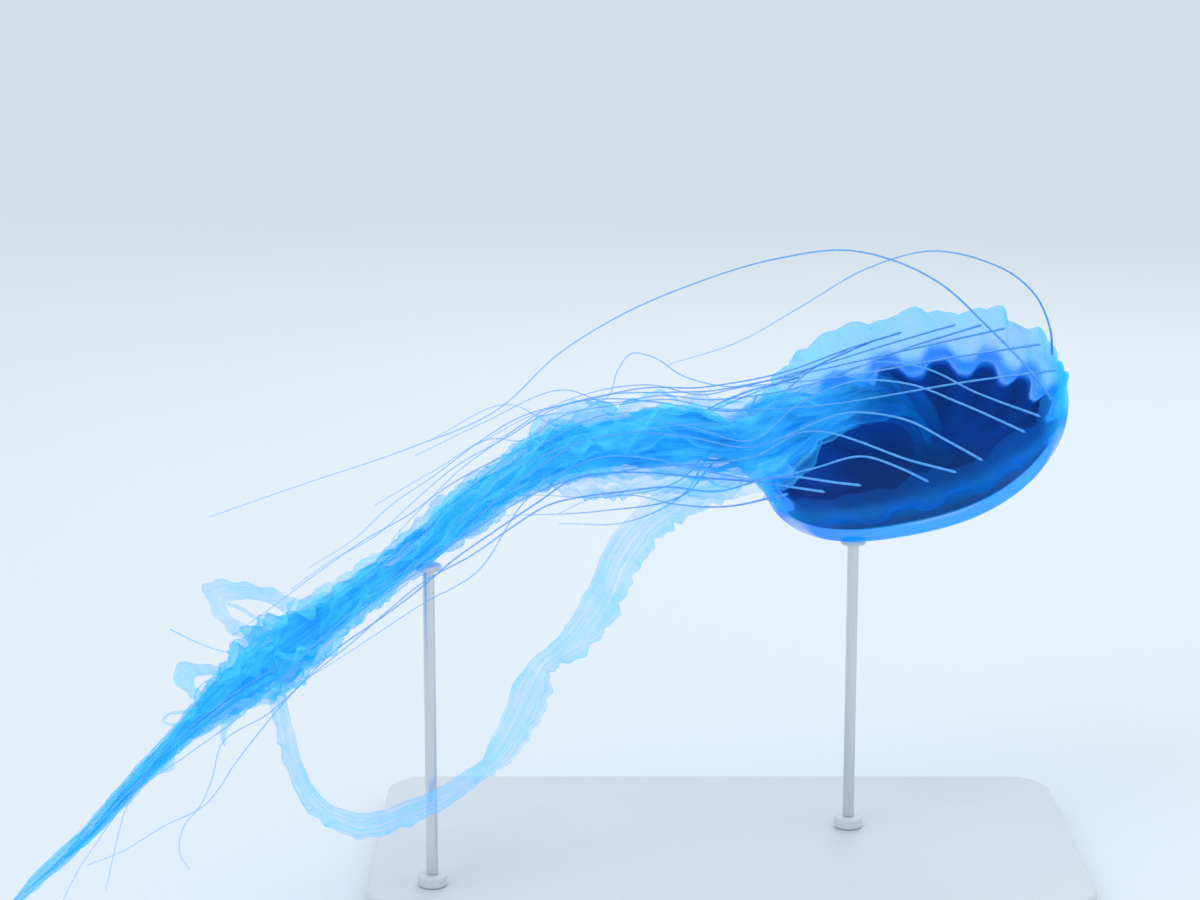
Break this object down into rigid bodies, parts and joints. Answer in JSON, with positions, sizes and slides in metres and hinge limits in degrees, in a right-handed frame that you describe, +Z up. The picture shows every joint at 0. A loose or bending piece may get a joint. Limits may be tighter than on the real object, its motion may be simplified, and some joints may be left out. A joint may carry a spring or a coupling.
{
  "type": "sea nettle jellyfish",
  "caption": "Life-size still model of a sea nettle jellyfish: tilted dome bell, dark pouched stomach, trailing frilly oral arms and long thin tentacles, on a flat base with rods",
  "frame": {"origin": "the middle of the underside of the stand's flat base", "axes": "+X to the right along the base's length, away from the trailing arms; +Y away from the viewer across the base; +Z up"},
  "size_m": [0.7353, 0.4239, 0.4458],
  "materials": {
    "jelly": "clear pale blue-white jelly, faintly clouded",
    "pouch": "dark indigo stomach lining, wet and soft",
    "frill": "milky pale blue-white membrane, brighter at its folded edges",
    "thread": "thin translucent pale blue thread",
    "stand": "pale grey satin",
    "steel": "satin steel"
  },
  "bodies": {
    "root": {"arm_1_1": "frill", "arm_1_2": "frill", "arm_1_3": "frill", "arm_2_1": "frill", "arm_2_2": "frill", "arm_2_3": "frill", "arm_3_1": "frill", "arm_3_2": "frill", "arm_3_3": "frill", "arm_4_1": "frill", "arm_4_2": "frill", "arm_4_3": "frill", "arm_4_4": "frill", "bell_dome": "jelly", "bell_margin": "jelly", "manubrium": "frill", "stand_base": "stand", "stand_collar_arms": "stand", "stand_collar_bell": "stand", "stand_pad_arms": "stand", "stand_pad_bell": "stand", "stand_rod_arms": "steel", "stand_rod_bell": "steel", "stomach": "pouch", "tentacle_01": "thread", "tentacle_02": "thread", "tentacle_03": "thread", "tentacle_04_root": "thread", "tentacle_04_tip": "thread", "tentacle_05": "thread", "tentacle_06": "thread", "tentacle_07_root": "thread", "tentacle_07_tip": "thread", "tentacle_08_root": "thread", "tentacle_08_tip": "thread", "tentacle_09": "thread", "tentacle_10_root": "thread", "tentacle_10_tip": "thread", "tentacle_11_root": "thread", "tentacle_11_tip": "thread", "tentacle_12": "thread", "tentacle_13": "thread", "tentacle_14": "thread", "tentacle_15": "thread", "tentacle_16": "thread", "tentacle_17": "thread", "tentacle_18": "thread", "tentacle_19": "thread", "tentacle_20": "thread", "tentacle_21": "thread", "tentacle_22": "thread", "tentacle_23": "thread", "tentacle_24": "thread"}
  },
  "joints": []
}
